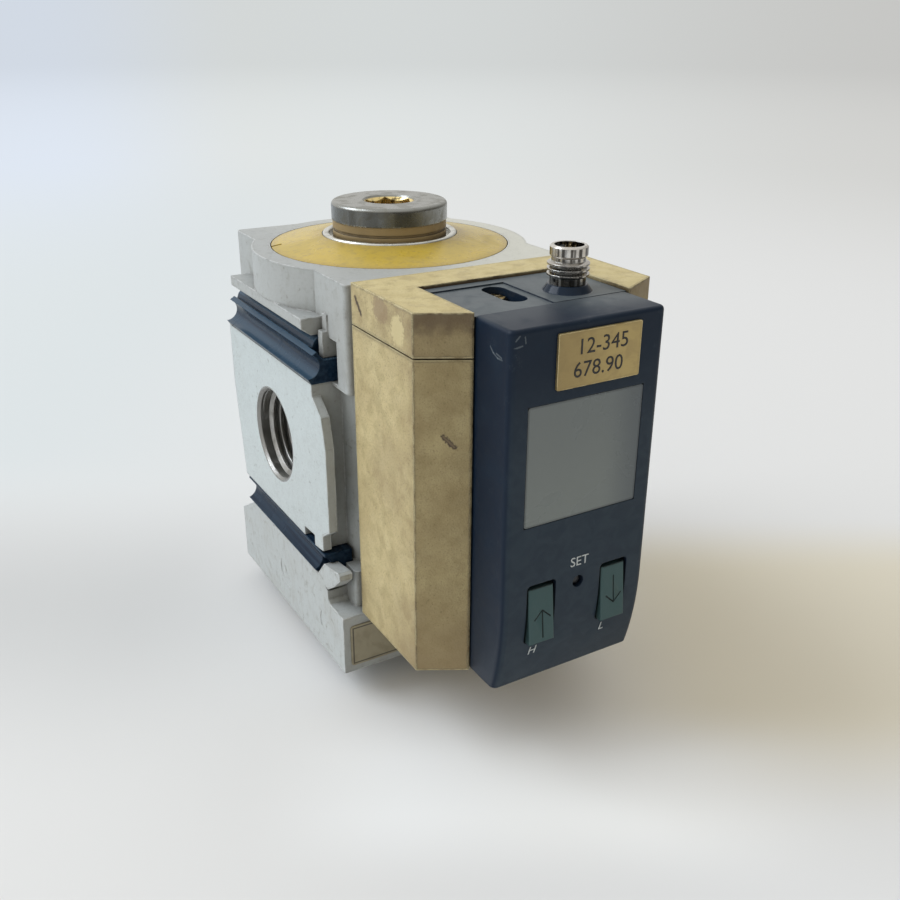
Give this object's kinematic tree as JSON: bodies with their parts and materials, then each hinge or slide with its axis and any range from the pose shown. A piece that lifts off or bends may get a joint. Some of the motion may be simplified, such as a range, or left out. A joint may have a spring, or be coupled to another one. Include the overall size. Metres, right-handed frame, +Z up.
{
  "type": "pneumatic branching module",
  "caption": "Compressed-air branching module: cast block with a threaded straight run, a plugged vertical branch and a front cover carrying a display pressure sensor with sprung keys.",
  "frame": {"origin": "centre of the bottom plug's outer face, on the vertical branch axis, where the module stands", "axes": "+Z up along the branch axis, +X along the straight run from the left port to the right port, the sensor's display faces -Y"},
  "size_m": [0.0631, 0.1074, 0.1022],
  "materials": {
    "cast_grey": "satin",
    "ring_gold": "satin",
    "zinc_steel": "brushed",
    "seal_tan": "matte",
    "seal_black": "matte",
    "strip_black": "satin",
    "cover_tan": "matte",
    "sensor_black": "satin",
    "lens": "gloss",
    "key_green": "matte",
    "nickel": "polished",
    "tag_brass": "satin",
    "label_tan": "matte",
    "board_green": "matte",
    "gold_pin": "polished",
    "screw_brass": "satin",
    "insert_black": "matte"
  },
  "bodies": {
    "module": {"module_body": "cast_grey", "top_disc": "ring_gold", "bottom_disc": "ring_gold", "top_port_bush": "zinc_steel", "bottom_port_bush": "zinc_steel", "top_bush_o_ring": "seal_black", "bottom_bush_o_ring": "seal_black", "top_seal_ring": "seal_tan", "bottom_seal_ring": "seal_tan", "top_screw_plug": "zinc_steel", "bottom_screw_plug": "zinc_steel", "upper_connector_strip": "strip_black", "lower_connector_strip": "strip_black", "cover_shell": "cover_tan", "cover_cap": "cover_tan", "cover_screws": "zinc_steel", "rating_plate": "label_tan", "pressure_nipple": "nickel", "body_o_ring": "seal_black", "cell_o_ring": "seal_black", "sensor_rear_housing": "sensor_black", "sensor_front_housing": "sensor_black", "display_window": "lens", "lcd_module": "lens", "contact_strips": "seal_black", "circuit_board": "board_green", "pressure_cell": "nickel", "cell_leads": "gold_pin", "connector_barrel": "nickel", "connector_insert": "insert_black", "contact_pins": "gold_pin", "fixing_screw": "screw_brass", "tag_plate": "tag_brass", "switch_a": "insert_black", "switch_b": "insert_black", "switch_set": "insert_black"},
    "key_a": {"button_a": "key_green"},
    "key_b": {"button_b": "key_green"},
    "key_set": {"button_set": "key_green"}
  },
  "joints": [
    {"name": "press_a", "type": "slide", "parent": "module", "child": "key_a", "axis": [0, 1, 0], "range_m": [0, 0.0007], "stiffness_N_per_m": 2500},
    {"name": "press_b", "type": "slide", "parent": "module", "child": "key_b", "axis": [0, 1, 0], "range_m": [0, 0.0007], "stiffness_N_per_m": 2500},
    {"name": "press_set", "type": "slide", "parent": "module", "child": "key_set", "axis": [0, 1, 0], "range_m": [0, 0.0005], "stiffness_N_per_m": 2000}
  ]
}
